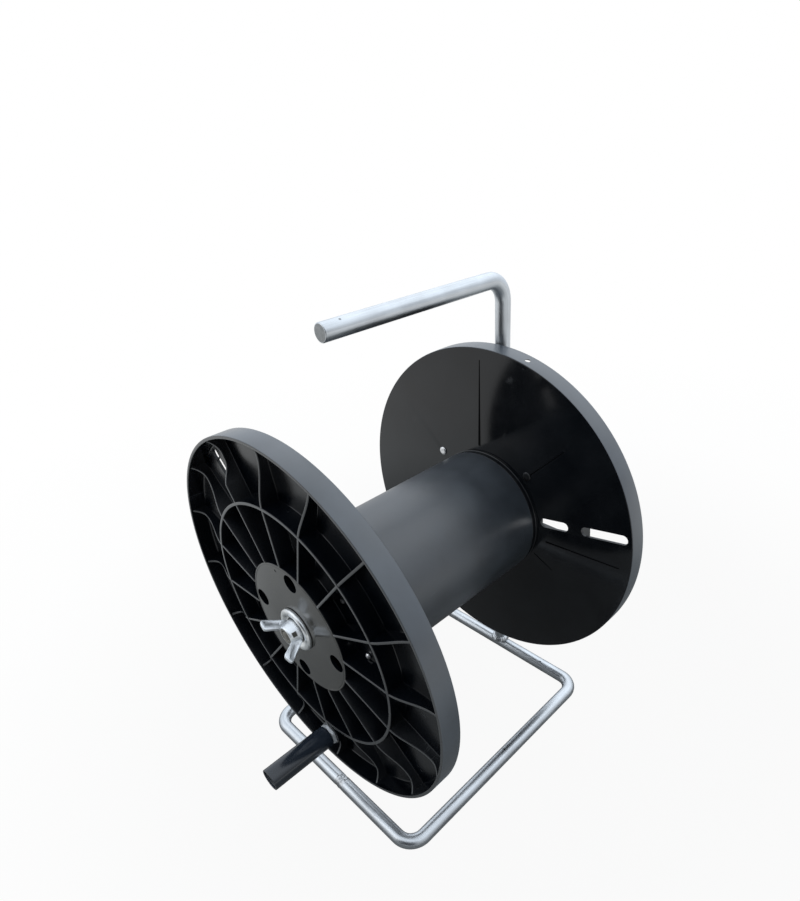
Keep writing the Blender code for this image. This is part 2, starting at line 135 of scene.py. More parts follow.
# The blotches, and the dark pits that lie in patches
blotchValues = {"scale": 48.0, "share": 0.45, "streakShare": 0.55}
pitValues = {
    "spacing": 70.0, "patches": 22.0, "patchEdge": (0.56, 0.60), "edge": 0.05,
    "colour": (0.10, 0.10, 0.10), "strength": 0.4, "depth": 0.0005,
}


# Fine drawing streaks that run along a bent rod, from the way stored in its mesh
def drawnStreaks(tree):
    run = addNode(tree, "Attribute", None, {"attribute_name": "run"})
    return cloud(tree, run.outputs["Vector"], 1.0, 4.0)


def zincMaterial(name, values):
    material, tree, shader, place = startMaterial(name, 1.0)
    blotch = cloud(tree, place, blotchValues["scale"], 4.0)
    grain = cloud(tree, place, values["grain"], 3.0)
    streak = drawnStreaks(tree) if name == "standZinc" else grain
    blotchPart = calc(tree, "MULTIPLY", blotch, blotchValues["share"])
    streakPart = calc(tree, "MULTIPLY", streak, blotchValues["streakShare"])
    mixed = calc(tree, "ADD", blotchPart, streakPart)
    tone = remap(tree, mixed, 0.36, 0.64)
    colour = tint(tree, tone, values["dark"], values["light"])
    v = pitValues
    cells = addNode(tree, "TexVoronoi", {"Vector": place, "Scale": v["spacing"]})
    patch = remap(tree, cloud(tree, place, v["patches"], 2.0), *v["patchEdge"])
    rim = values["pits"] + v["edge"]
    pit = remap(tree, cells.outputs["Distance"], values["pits"], rim, 1.0, 0.0)
    pit = calc(tree, "MULTIPLY", pit, patch)
    colour = tint(tree, pit, colour, v["colour"])
    paint(tree, shader, colour, remap(tree, mixed, 0.35, 0.65, *values["rough"]))
    first = relief(tree, shader, streak, values["dents"], grainDepth)
    unpitted = calc(tree, "SUBTRACT", 1.0, pit)
    relief(tree, shader, unpitted, v["strength"], v["depth"], first)
    return material


# Metals with one fine grain: the spatter of a weld, or a rivet's smears
smears = (600.0, 3.0, 0.0, 1.0, 0.15, grainDepth)
grainyValues = finishTable("dark light rough scale detail low high strength depth", {
    "weldMetal": (
        (0.40, 0.41, 0.42), (0.68, 0.70, 0.72), (0.30, 0.48), 320.0, 5.0, 0.38, 0.62, 0.35, 0.0006,
    ),
    "rivetBright": ((0.60, 0.60, 0.61), (0.86, 0.86, 0.87), (0.22, 0.34), *smears),
    # A darker copy of the rivet metal: painted shade, for the second rivets and a ring on the
    # washer
    "rivetPaintedShade": ((0.030, 0.031, 0.033), (0.085, 0.087, 0.09), (0.34, 0.50), *smears),
})


def grainyMaterial(name, values):
    material, tree, shader, place = startMaterial(name, 1.0)
    grain = cloud(tree, place, values["scale"], values["detail"])
    tone = remap(tree, grain, values["low"], values["high"])
    colour = tint(tree, tone, values["dark"], values["light"])
    paint(tree, shader, colour, remap(tree, grain, 0.3, 0.7, *values["rough"]))
    relief(tree, shader, grain, values["strength"], values["depth"])
    return material


plasticValues = finishTable("deep pale rough orangePeel specular", {
    "flangeBlack": ((0.024, 0.025, 0.026), (0.042, 0.043, 0.044), (0.22, 0.34), 0.03, 0.5),
    # The pockets between the ribs: the flange's plastic painted far darker, as shade
    "webPaintedShade": ((0.0004, 0.0009, 0.0018), (0.0010, 0.0019, 0.0034), (0.17, 0.26), 0.03, 0.38),
    # On the rim band this paler colour is a painted sheen; on the barrel it is the scratches' own
    # pale grey
    "rimPaintedSheenAndScratches": ((0.026, 0.033, 0.041), (0.040, 0.049, 0.060), (0.28, 0.36), 0.02, 1.0),
    # The face towards the barrel: glossier for real, and painted darker than the flange's black, as
    # shade
    "innerGlossPaintedShade": ((0.0026, 0.0032, 0.0042), (0.0062, 0.0070, 0.0082), (0.09, 0.14), 0.015, 0.42),
    "hubSatin": ((0.018, 0.017, 0.0145), (0.030, 0.0285, 0.025), (0.11, 0.18), 0.03, 0.42),
    "barrelBlack": ((0.018, 0.022, 0.027), (0.030, 0.036, 0.043), (0.34, 0.44), 0.06, 1.0),
    "gripBlack": ((0.009, 0.013, 0.019), (0.016, 0.021, 0.029), (0.09, 0.15), 0.02, 0.6),
    "mattBlack": ((0.0006, 0.0007, 0.0008), (0.0014, 0.0014, 0.0015), (0.60, 0.75), 0.05, 0.05),
})
hazeScale = 30.0
speckScale = 700.0
scuffValues = {
    "scale": 55.0, "stretch": (1.0, 0.22, 1.0), "colour": (0.05, 0.053, 0.058), "share": 0.5,
    "rougher": 0.2,
}


def plasticMaterial(name, values):
    material, tree, shader, place = startMaterial(name, 0.0, values["specular"])
    v = scuffValues
    haze = cloud(tree, place, hazeScale, 4.0)
    speck = cloud(tree, place, speckScale, 2.0)
    scuff = cloud(tree, place, v["scale"], 6.0, v["stretch"], 0.7)
    scuff = remap(tree, scuff, 0.64, 0.72, 0.0, 0.5)
    tone = remap(tree, haze, 0.35, 0.65)
    colour = tint(tree, tone, values["deep"], values["pale"])
    colour = tint(tree, calc(tree, "MULTIPLY", scuff, v["share"]), colour, v["colour"])
    rough = remap(tree, haze, 0.3, 0.7, *values["rough"])
    rough = calc(tree, "ADD", rough, calc(tree, "MULTIPLY", scuff, v["rougher"]))
    paint(tree, shader, colour, rough)
    relief(tree, shader, speck, values["orangePeel"], grainDepth)
    return material


finishes = {}
for make, rows in (
    (zincMaterial, zincValues), (grainyMaterial, grainyValues), (plasticMaterial, plasticValues),
):
    for name, values in rows.items():
        finishes[name] = make(name, values)
print("finishes mixed:", len(finishes))


# Helpers for the meshes

def toObject(name, bm, at=(0.0, 0.0, 0.0), smooth=35.0):
    bmesh.ops.recalc_face_normals(bm, faces=bm.faces[:])
    mesh = bpy.data.meshes.new(name)
    bm.to_mesh(mesh)
    bm.free()
    piece = bpy.data.objects.new(name, mesh)
    piece.location = at
    scene.collection.objects.link(piece)
    mesh.shade_smooth()
    mesh.set_sharp_from_angle(angle=math.radians(smooth))
    return piece


def dress(piece, *names):
    for name in names:
        piece.data.materials.append(finishes[name])


def fit(piece, body, node, slotName, *names):
    dress(piece, *names)
    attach(piece, body)
    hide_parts(node)


# Each face of a piece, with its middle's distance from the axle and place along it
def facesOf(piece):
    middles = [(face, face.center) for face in piece.data.polygons]
    return [(face, math.hypot(at.x, at.z), at.y) for face, at in middles]


# Skins rows of points: joined up in a loop if closed, and otherwise capped at both ends
def addRows(bm, rows, closed=False):
    rows = [[bm.verts.new(point) for point in row] for row in rows]
    stitch(bm, rows, closed)


def stitch(bm, rows, closed):
    count = len(rows)
    side = len(rows[0])
    for i in range(count if closed else count - 1):
        a, b = rows[i], rows[(i + 1) % count]
        for j in range(side):
            k = (j + 1) % side
            bm.faces.new((a[j], a[k], b[k], b[j]))
    if not closed:
        bm.faces.new(rows[0])
        bm.faces.new(rows[-1])


# Rounds the corners of a closed section: each entry is (radius, distance, rounding)
def softSection(corners, steps=4):
    points = []
    count = len(corners)
    for i, (r, h, size) in enumerate(corners):
        here = Vector((r, h))
        if size <= 0.0:
            points.append((r, h))
            continue
        before = Vector(corners[i - 1][:2]) - here
        after = Vector(corners[(i + 1) % count][:2]) - here
        size = min(size, before.length * 0.45, after.length * 0.45)
        start = here + before.normalized() * size
        end = here + after.normalized() * size
        for j in range(steps + 1):
            t = j / steps
            p = start * (1 - t) ** 2 + here * 2 * t * (1 - t) + end * t ** 2
            points.append((p.x, p.y))
    return points


# A quarter turn in equal steps, as angles
def quarter(steps):
    return [math.pi / 2.0 * j / steps for j in range(steps + 1)]


# The angle, cosine and sine at equal steps of a whole turn
def turns(count):
    angles = [2.0 * math.pi * i / count for i in range(count)]
    return [(angle, math.cos(angle), math.sin(angle)) for angle in angles]


def onDisc(radius, degrees):
    angle = math.radians(degrees)
    return radius * math.cos(angle), radius * math.sin(angle)


# A point at some degrees round the axle: out from it, along it, and to the side
def around(degrees, out, along, aside=0.0):
    c, s = onDisc(1.0, degrees)
    return c * out - s * aside, along, s * out + c * aside


# Turns a closed section about the axle's direction
def addTurned(bm, section, segments, centre=(0.0, 0.0), wobble=None):
    x, z = centre
    rows = []
    for angle, c, s in turns(segments):
        extra = wobble(angle) if wobble else 0.0
        rows.append([(x + (r + extra) * c, y, z + (r + extra) * s) for r, y in section])
    addRows(bm, rows, True)


# Turns an open section into a solid, closed at both ends
def addLathed(bm, section, segments, centre=(0.0, 0.0)):
    x, z = centre
    steps = turns(segments)
    addRows(bm, [[(x + r * c, y, z + r * s) for angle, c, s in steps] for r, y in section])


def turnedPiece(name, section, segments, at, smooth=35.0, wobble=None):
    bm = bmesh.new()
    addTurned(bm, section, segments, wobble=wobble)
    return toObject(name, bm, at, smooth)


def rowsPiece(name, rows, at=(0.0, 0.0, 0.0), smooth=35.0, closed=False):
    bm = bmesh.new()
    addRows(bm, rows, closed)
    return toObject(name, bm, at, smooth)


def applyCuts(piece, cutters):
    for cutter in cutters:
        modifier = piece.modifiers.new("cut", "BOOLEAN")
        modifier.operation = "DIFFERENCE"
        modifier.solver = "EXACT"
        modifier.object = cutter
    bpy.context.view_layer.update()
    graph = bpy.context.evaluated_depsgraph_get()
    mesh = bpy.data.meshes.new_from_object(piece.evaluated_get(graph))
    piece.modifiers.clear()
    piece.data = mesh
    for cutter in cutters:
        bpy.data.objects.remove(cutter)


def joinInto(piece, other, smooth=35.0):
    bm = bmesh.new()
    bm.from_mesh(piece.data)
    bm.from_mesh(other.data)
    bpy.data.objects.remove(other)
    bm.to_mesh(piece.data)
    bm.free()
    piece.data.shade_smooth()
    piece.data.set_sharp_from_angle(angle=math.radians(smooth))


# The stand's rods

rodValues = {
    "radius": 0.00625, "sides": 32, "bendSteps": 14, "halfWidth": 0.0995, "length": 0.2401,
    "cornerRadius": 0.0160, "handleHeight": 0.39335, "handleReach": 0.1757,
    "handleBend": 0.0180, "endRound": 0.0008, "footGap": 0.0128, "streaksAlong": 22.0,
    "streaksAround": 5.0,
}


def bentPath(corners, radius):
    steps = rodValues["bendSteps"]
    path = [Vector(corners[0])]
    for before, corner, after in zip(corners, corners[1:], corners[2:]):
        corner = Vector(corner)
        back = (Vector(before) - corner).normalized()
        ahead = (Vector(after) - corner).normalized()
        half = back.angle(ahead) / 2.0
        middle = corner + (back + ahead).normalized() * radius / math.sin(half)
        start = corner + back * radius / math.tan(half) - middle
        end = corner + ahead * radius / math.tan(half) - middle
        sweep = start.angle(end)
        whole = math.sin(sweep)
        for j in range(steps + 1):
            t = j / steps
            first = start * math.sin((1 - t) * sweep) / whole
            path.append(middle + first + end * math.sin(t * sweep) / whole)
    path.append(Vector(corners[-1]))
    return path


# Long straight stretches get extra rings, for the streaks that follow the rod
def filledPath(path, spacing=0.02):
    full = [path[0]]
    for a, b in zip(path, path[1:]):
        parts = max(1, int((b - a).length / spacing))
        full += [a.lerp(b, (k + 1) / parts) for k in range(parts)]
    return full


def makeRod(name, path, normal, endRound):
    v = rodValues
    points = filledPath(path)
    stations = []
    for i, point in enumerate(points):
        ahead = points[min(i + 1, len(points) - 1)]
        heading = (ahead - points[max(i - 1, 0)]).normalized()
        stations.append((point, heading, v["radius"]))
    if endRound:
        point, heading, size = stations.pop()
        for t in quarter(4):
            spot = point - heading * endRound * (1 - math.sin(t))
            stations.append((spot, heading, size - endRound * (1 - math.cos(t))))
    bm = bmesh.new()
    run = bm.verts.layers.float_vector.new("run")
    rows = []
    way, wide = 0.0, v["streaksAround"]
    last = stations[0][0]
    for point, heading, size in stations:
        across = heading.cross(normal).normalized()
        way += (point - last).length
        last = point
        row = []
        for angle, c, s in turns(v["sides"]):
            vertex = bm.verts.new(point + (normal * c + across * s) * size)
            vertex[run] = Vector((way * v["streaksAlong"], c * wide, s * wide))
            row.append(vertex)
        rows.append(row)
    stitch(bm, rows, False)
    rod = toObject(name, bm, smooth=50.0)
    dress(rod, "standZinc")
    # The end face takes the darker zinc: painted shade
    if endRound:
        dress(rod, "rodEndPaintedShade")
        rod.data.polygons[-1].material_index = 1
    return rod


buttWeldValues = {
    "centre": 0.0082, "length": 0.0104, "lump": 0.00045, "lumpsAlong": 380.0,
    "lumpsAround": 1.9, "sides": 40, "rings": 22, "under": 0.00004, "lowest": 0.0001,
}


def makeBaseLoop():
    v = rodValues
    reach = buttWeldValues["length"] / 2.0
    middle = buttWeldValues["centre"]
    side, yFront, z = v["halfWidth"], -v["length"], v["radius"]
    corners = [
        (middle + reach, yFront, z), (side, yFront, z),
        (side, 0.0, z), (-side, 0.0, z),
        (-side, yFront, z), (middle - reach, yFront, z),
    ]
    path = bentPath(corners, v["cornerRadius"])
    rod = makeRod("baseLoop", path, Vector((0.0, 0.0, 1.0)), 0.0)
    fit(rod, "stand", "base_loop", "stand_zinc")


def makeCarryHandle():
    v = rodValues
    high = v["handleHeight"]
    corners = [(0.0, 0.0, v["footGap"]), (0.0, 0.0, high), (0.0, -v["handleReach"], high)]
    path = bentPath(corners, v["handleBend"])
    rod = makeRod("carryHandle", path, Vector((1.0, 0.0, 0.0)), v["endRound"])
    fit(rod, "stand", "carry_handle", "stand_zinc")


# The butt weld: an uneven band ground roughly flush with the rod
def makeButtWeld():
    v = buttWeldValues
    radius = rodValues["radius"]
    rows = []
    for i in range(v["rings"] + 1):
        t = i / v["rings"]
        x = v["centre"] + (t - 0.5) * v["length"]
        edge = math.sin(math.pi * t) ** 0.4
        row = []
        for angle, c, s in turns(v["sides"]):
            place = Vector((x * v["lumpsAlong"], c * v["lumpsAround"], s * v["lumpsAround"]))
            lump = noise.noise(place) * v["lump"] * 1.6 - v["lump"] * 0.4
            size = radius - v["under"] + edge * min(lump, 0.0) + edge * max(lump, 0.0) * 0.6
            y = -rodValues["length"] + size * c
            row.append((x, y, max(radius + size * s, v["lowest"])))
        rows.append(row)
    weld = rowsPiece("buttWeld", rows, smooth=70.0)
    fit(weld, "stand", "base_butt_weld", "weld_metal", "weldMetal")


footWeldValues = {
    "inner": 0.0061, "outer": 0.0098, "low": 0.0128, "height": 0.0042, "ripples": 19,
    "rippleHigh": 0.0003, "segments": 96,
}


# The fillet weld round the upright's foot, laid in overlapping beads
def makeFootWeld():
    v = footWeldValues
    high = v["rippleHigh"]
    rows = []
    for angle, c, s in turns(v["segments"]):
        wave = abs(math.sin(angle * v["ripples"] / 2.0)) * high
        row = []
        for t in quarter(8):
            r = v["inner"] + (v["outer"] - v["inner"] - high + wave) * math.cos(t)
            z = v["low"] + (v["height"] - high + wave) * math.sin(t) ** 1.4
            row.append((r * c, r * s, z))
        rows.append(row + [(v["inner"] * c, v["inner"] * s, v["low"])])
    weld = rowsPiece("footWeld", rows, smooth=60.0, closed=True)
    fit(weld, "stand", "foot_weld", "weld_metal", "weldMetal")


axleValues = {
    "radius": 0.0050, "edge": 0.0004, "root": 0.1179, "shoulder": -0.1146, "tip": -0.1265,
    "threadRadius": 0.0040, "pitch": 0.00125, "threadDepth": 0.00055, "threadSteps": 96,
    "threadSides": 36, "tipTaper": 0.0008, "tipCut": 0.0006, "sides": 32,
}


# The axle with its screw end: the thread's height follows the angle and the way along
def makeAxle():
    v = axleValues
    bm = bmesh.new()
    plain = [
        (v["radius"] - v["edge"], v["root"]), (v["radius"], v["root"] - v["edge"]),
        (v["radius"], v["shoulder"] + v["edge"]), (v["radius"] - v["edge"], v["shoulder"]),
    ]
    addLathed(bm, plain, v["sides"])
    rows = []
    sides = v["threadSides"]
    for i in range(v["threadSteps"] + 1):
        y = v["shoulder"] + (v["tip"] - v["shoulder"]) * i / v["threadSteps"]
        run = (y - v["tip"]) / v["tipTaper"]
        row = []
        for j, (angle, c, s) in enumerate(turns(sides)):
            turn = (y / v["pitch"] + j / sides) % 1.0
            groove = abs(turn * 2.0 - 1.0)
            r = v["threadRadius"] - v["threadDepth"] * groove
            r -= max(0.0, 1.0 - run) * v["tipCut"]
            row.append((r * c, y, r * s))
        rows.append(row)
    addRows(bm, rows)
    axle = toObject("axleRod", bm, axleCentre, 40.0)
    # The axle takes the dark zinc: painted shade
    fit(axle, "stand", "axle", "axle_zinc", "screwSteelPaintedShade")


axleWeldValues = {
    "bore": 0.0051, "outer": 0.0088, "rear": 0.1178, "front": 0.1156, "slope": 0.0012,
    "round": 0.0006, "ripple": 0.00018, "ripples": 15.0, "wave": 0.0001, "waves": 7.0,
    "under": 0.0003, "segments": 64,
}


def weldWobble(angle):
    v = axleWeldValues
    ripple = v["ripple"] * math.sin(angle * v["ripples"])
    return ripple + v["wave"] * math.sin(angle * v["waves"] + 1.0) - v["under"]


def makeAxleWeld():
    v = axleWeldValues
    corners = [
        (v["bore"], v["rear"], 0), (v["outer"], v["rear"], v["round"]),
        (v["outer"] - v["slope"], v["front"], v["round"]), (v["bore"], v["front"], 0),
    ]
    section = softSection(corners)
    weld = turnedPiece("axleWeld", section, v["segments"], axleCentre, 60.0, weldWobble)
    fit(weld, "stand", "axle_weld", "weld_metal", "weldMetal")


makeBaseLoop()
makeCarryHandle()
makeButtWeld()
makeFootWeld()
makeAxle()
makeAxleWeld()
print("stand made")


# The flanges

flangeValues = {
    "face": 0.100, "radius": 0.150, "depth": 0.0160, "rimWall": 0.0024, "web": 0.0022,
    "segments": 192, "hubRadius": 0.0555, "hubWall": 0.0026, "hubPlate": 0.0028,
    "hubDrop": 0.0008, "hubGroove": 0.00022, "bore": 0.0053, "tubeWall": 0.0050,
    "spigot": 0.0164, "collar": 0.0588, "collarLength": 0.0044, "ringRadius": 0.1019,
    "ringThick": 0.0024, "ringDrop": 0.0001, "ribCount": 16, "ribStations": 44,
    "ribBase": 0.00135, "ribTopHalf": 0.00100, "ribRound": 0.00055, "ribFoot": 0.0007,
    "ribDrop": 0.0003, "ribDip": 0.0073, "ribTurn": 0.1370, "ribPower": 1.8,
    "crankCircle": 0.1185, "crankAngle": 273.4, "crankBore": 0.0032, "bossRadius": 0.0104,
    "bossBore": 0.0033, "bossDrop": 0.0018, "bossFoot": 0.0011, "bossSegments": 48,
    "seatRadius": 0.0105, "cutBelow": -0.004, "cutAbove": 0.0082,
}
frontFlange = {
    "name": "frontFlange", "side": front, "node": "front_flange", "ribs": 3.2, "holes": -7.5,
    "slots": 127.2, "rivets": (6.6, 43.0),
}
rearFlange = {
    "name": "rearFlange", "side": rear, "node": "rear_flange", "ribs": 21.55, "holes": 55.3,
    "slots": 10.3, "rivets": (137.4, 47.4),
}


def flangeSection(side):
    v = flangeValues
    edge = v["radius"]
    inner = edge - v["rimWall"]
    ringOut = v["ringRadius"] + v["ringThick"] / 2.0
    ringIn = v["ringRadius"] - v["ringThick"] / 2.0
    ringTop = v["depth"] - v["ringDrop"]
    hub = v["hubRadius"]
    hubTop = v["depth"] - v["hubDrop"]
    hubIn = hub - v["hubWall"]
    groove = hubTop - v["hubGroove"]
    tube = v["bore"] + v["tubeWall"]
    corners = [
        (edge, 0.0, 0.0009), (edge, v["depth"], 0.0007),
        (inner, v["depth"], 0.0007), (inner - 0.0004, v["web"], 0.0016),
        (ringOut + 0.0002, v["web"], 0.0008), (ringOut, ringTop, 0.0006),
        (ringIn, ringTop, 0.0006), (ringIn - 0.0002, v["web"], 0.0008),
        (hub + 0.0002, v["web"], 0.0010), (hub, hubTop, 0.0006),
        (hub - 0.0013, hubTop, 0.0001), (hub - 0.0015, groove, 0.0001),
        (hub - 0.0018, groove, 0.0001), (hub - 0.0020, hubTop, 0.0001),
        (v["bore"], hubTop, 0.0003), (v["bore"], -v["spigot"], 0.0003),
        (tube, -v["spigot"], 0.0003), (tube, hubTop - v["hubPlate"], 0.0006),
        (hubIn, hubTop - v["hubPlate"], 0.0006), (hubIn, -v["spigot"], 0.0003),
        (hub, -v["spigot"], 0.0003), (hub, -v["collarLength"], 0),
        (v["collar"], -v["collarLength"], 0.0005), (v["collar"], 0.0, 0.0008),
    ]
    return [(r, side * (v["face"] + h)) for r, h in softSection(corners)]


# The front rib beside the slots stays level further out and then drops faster
lateRib = {"angle": 115.7, "start": 0.1165, "turn": 0.1330, "power": 1.3}


def ribHeight(radius, late):
    v = flangeValues
    level = v["depth"] - v["ribDrop"]
    rimMiddle = v["radius"] - v["rimWall"] / 2.0
    start, turn, power = v["ringRadius"], v["ribTurn"], v["ribPower"]
    if late and radius <= lateRib["turn"]:
        start, turn, power = lateRib["start"], lateRib["turn"], lateRib["power"]
    if radius <= start:
        return level
    if radius <= turn:
        u = (radius - start) / (turn - start)
        return level - v["ribDip"] * math.sin(u * math.pi / 2.0) ** power
    u = (radius - turn) / (rimMiddle - turn)
    return level - v["ribDip"] * (1.0 - u * u)


# Half of a rib's cross section, from the foot to the middle of its rounded top
def ribProfile(height):
    v = flangeValues
    low = v["web"]
    foot = v["ribFoot"]
    side = v["ribBase"]
    bend = v["ribRound"]
    points = [
        (side + foot, low - 0.0003), (side + foot, low),
        (side + foot * 0.3, low + foot * 0.3), (side, low + foot),
    ]
    for t in quarter(3):
        out = v["ribTopHalf"] - bend * (1 - math.cos(t))
        points.append((out, height - bend * (1 - math.sin(t))))
    return points


def addRib(bm, side, degrees, seat):
    v = flangeValues
    start = v["hubRadius"] - v["hubWall"] / 2.0
    end = v["radius"] - v["rimWall"] / 2.0
    late = side == front and abs(degrees - lateRib["angle"]) < 1.0
    rows = []
    for i in range(v["ribStations"] + 1):
        radius = start + (end - start) * i / v["ribStations"]
        height = ribHeight(radius, late)
        if radius < v["hubRadius"] + 0.0005:
            height -= v["hubDrop"]
        if seat and abs(radius - v["crankCircle"]) < v["seatRadius"]:
            height = min(height, v["depth"] - v["bossDrop"])
        half = ribProfile(height)
        section = half + [(-a, b) for a, b in reversed(half)]
        rows.append([around(degrees, radius, side * (v["face"] + b), a) for a, b in section])
    addRows(bm, rows)


# A straight block through the disc, from its outline and two heights on it
def prism(name, outline, side, degrees, low, high):
    rows = []
    for h in (low, high):
        y = side * (flangeValues["face"] + h)
        rows.append([around(degrees, a, y, b) for a, b in outline])
    return rowsPiece(name, rows, axleCentre)


slotValues = {
    "width": 0.0085, "short": (0.0640, 0.0920), "long": (0.1045, 0.1460), "endSteps": 12,
    "bridge": 0.1380, "bridgeHalf": 0.0004, "bridgeWide": 0.0045,
    "bridgeHeights": (0.0002, 0.0018),
}


def slotCutter(side, degrees, start, end):
    v = slotValues
    half = v["width"] / 2.0
    outline = []
    for middle, turn in ((end - half, -90.0), (start + half, 90.0)):
        for i in range(v["endSteps"] + 1):
            a, b = onDisc(half, turn + 180.0 * i / v["endSteps"])
            outline.append((middle + a, b))
    low, high = flangeValues["cutBelow"], flangeValues["cutAbove"]
    return prism("slotCutter", outline, side, degrees, low, high)


# The thin strip left across the front flange's long slot
def addBridge(bm, which):
    v = slotValues
    box = []
    for a in (v["bridge"] - v["bridgeHalf"], v["bridge"] + v["bridgeHalf"]):
        for b in (-v["bridgeWide"], v["bridgeWide"]):
            for h in v["bridgeHeights"]:
                y = which["side"] * (flangeValues["face"] + h)
                box.append(bm.verts.new(around(which["slots"], a, y, b)))
    loops = ((0, 1, 3, 2), (4, 5, 7, 6), (0, 1, 5, 4), (2, 3, 7, 6), (0, 2, 6, 4), (1, 3, 7, 5))
    for loop in loops:
        bm.faces.new([box[k] for k in loop])


def holeCutter(side, degrees, distance, radius, low, high, steps=40):
    circle = [onDisc(radius, 360.0 * i / steps) for i in range(steps)]
    outline = [(distance + a, b) for a, b in circle]
    return prism("holeCutter", outline, side, degrees, low, high)


hubHoleValues = {"count": 4, "circle": 0.0458, "radius": 0.0072}
dimpleValues = {"circle": 0.0500, "angle": 103.0, "radius": 0.0011, "depth": 0.0003}
rimHoleValues = {
    "angle": 75.2, "height": 0.0074, "radius": 0.00225, "flare": 0.0084,
    "reaches": (0.1462, 0.1494, 0.153), "steps": 28,
}


def rimHoleCutter(side):
    v = rimHoleValues
    middle = side * (flangeValues["face"] + v["height"])
    rows = []
    for reach, size in zip(v["reaches"], (v["flare"], v["radius"], v["radius"])):
        circle = [onDisc(size, 360.0 * i / v["steps"]) for i in range(v["steps"])]
        rows.append([around(v["angle"], reach, middle + b, a) for a, b in circle])
    return rowsPiece("rimHoleCutter", rows, axleCentre)


# Thin dull marks left by the mould on the face towards the barrel.
# Each has its start and end in the disc's own plane, and its half width at both.
mouldMarks = (
    ((-0.0056, 0.0645), (-0.0042, 0.1404), (0.00125, 0.00035)),
    ((0.0466, 0.0498), (0.0818, 0.0841), (0.00050, 0.00025)),
    ((0.0695, -0.0064), (0.1400, -0.0022), (0.00070, 0.00045)),
    ((0.0580, -0.0240), (0.0777, -0.0338), (0.00050, 0.00025)),
)
markValues = {"proud": 0.00012, "sunk": 0.00030}


def addMark(bm, side, start, end, halves):
    start, end = Vector(start), Vector(end)
    across = (end - start).normalized().orthogonal()
    sunk, proud = markValues["sunk"], -markValues["proud"]
    rows = []
    for point, half in zip((start, end), halves):
        row = []
        for share, h in ((-half, sunk), (-half, proud), (half, proud), (half, sunk)):
            spot = point + across * share
            row.append((spot.x, side * (flangeValues["face"] + h), spot.y))
        rows.append(row)
    addRows(bm, rows)


# Satin hub plate, pockets between the ribs painted near-black as shade, a rim band painted
# paler as sheen, and a glossy face towards the barrel painted darker as shade, with dull mould
# marks
def finishFlange(disc, side):
    v = flangeValues
    names = ("flangeBlack", "hubSatin", "webPaintedShade", "rimPaintedSheenAndScratches", "innerGlossPaintedShade", "mattBlack")
    disc.data.materials.clear()
    dress(disc, *names)
    plate = v["face"] + v["depth"] - v["hubDrop"] - 0.0004
    floor = v["face"] + v["web"] + 0.0010
    marked = v["face"] - markValues["proud"] * 0.5
    for face, reach, y in facesOf(disc):
        depth = y * side
        outward = face.normal.y * side
        name = "flangeBlack"
        if reach < v["hubRadius"] - 0.0001 and depth > plate:
            name = "hubSatin"
        # The rim band's outside is painted paler: painted sheen
        elif reach > v["radius"] - 0.0004 and abs(outward) < 0.6:
            name = "rimPaintedSheenAndScratches"
        elif v["collar"] + 0.003 < reach < v["radius"] - 0.006 and depth < marked:
            name = "mattBlack"
        # The face towards the barrel: glossy, and painted darker as shade
        elif outward < -0.5 and depth < v["face"] + 0.0006:
            name = "innerGlossPaintedShade"
        # Pocket floors and the walls round them are painted near-black: painted shade
        elif reach < v["radius"] - 0.0006 and (outward < 0.55 or depth < floor):
            name = "webPaintedShade"
        face.material_index = names.index(name)


rivetShape = {
    "circle": 0.0691, "hole": 0.0022, "shank": 0.0020, "head": 0.0039, "headHigh": 0.0011,
    "tail": 0.0025, "tailHigh": 0.0018, "gap": 0.0003, "segments": 28,
}


def flangeCutters(which):
    v, h, d, r = flangeValues, hubHoleValues, dimpleValues, rivetShape
    side = which["side"]
    low, high = v["cutBelow"], v["cutAbove"]
    cutters = [slotCutter(side, which["slots"], *slotValues[key]) for key in ("short", "long")]
    plate = v["depth"] - v["hubDrop"]
    bottom = plate - v["hubPlate"] - 0.003
    for i in range(h["count"]):
        angle = which["holes"] + 360.0 * i / h["count"]
        cutters.append(holeCutter(side, angle, h["circle"], h["radius"], bottom, plate + 0.004))
    for angle in which["rivets"]:
        cutters.append(holeCutter(side, angle, r["circle"], r["hole"], low, high, 20))
    if side == rear:
        return cutters + [rimHoleCutter(side)]
    dimple = (side, d["angle"], d["circle"], d["radius"], plate - d["depth"], plate + 0.003, 20)
    bolt = (side, v["crankAngle"], v["crankCircle"], v["crankBore"], low, 0.012, 24)
    return cutters + [holeCutter(*dimple), holeCutter(*bolt)]


# The round boss under the crank nut
def addBoss(bm, side):
    v = flangeValues
    low = side * (v["face"] + v["bossFoot"])
    high = side * (v["face"] + v["depth"] - v["bossDrop"])
    corners = [
        (v["bossBore"], low, 0), (v["bossRadius"] + 0.0002, low, 0),
        (v["bossRadius"], high, 0.0005), (v["bossBore"], high, 0.0003),
    ]
    centre = onDisc(v["crankCircle"], v["crankAngle"])
    addTurned(bm, softSection(corners), v["bossSegments"], centre)


def makeFlange(which):
    v = flangeValues
    side = which["side"]
    disc = turnedPiece(which["name"], flangeSection(side), v["segments"], axleCentre)
    applyCuts(disc, flangeCutters(which))
    bm = bmesh.new()
    for i in range(v["ribCount"]):
        degrees = which["ribs"] + 360.0 * i / v["ribCount"]
        addRib(bm, side, degrees, side == front and abs(degrees - v["crankAngle"]) < 5.0)
    if side == front:
        addBoss(bm, side)
        addBridge(bm, which)
    else:
        for mark in mouldMarks:
            addMark(bm, side, *mark)
    joinInto(disc, toObject(which["name"] + "Ribs", bm, axleCentre))
    finishFlange(disc, side)
    fit(disc, "spool", which["node"], "flange_black")


makeFlange(frontFlange)
makeFlange(rearFlange)
print("flanges made")


# The barrel and the rivets

barrelValues = {"inner": 0.0558, "outer": 0.0592, "half": 0.0953, "segments": 160}
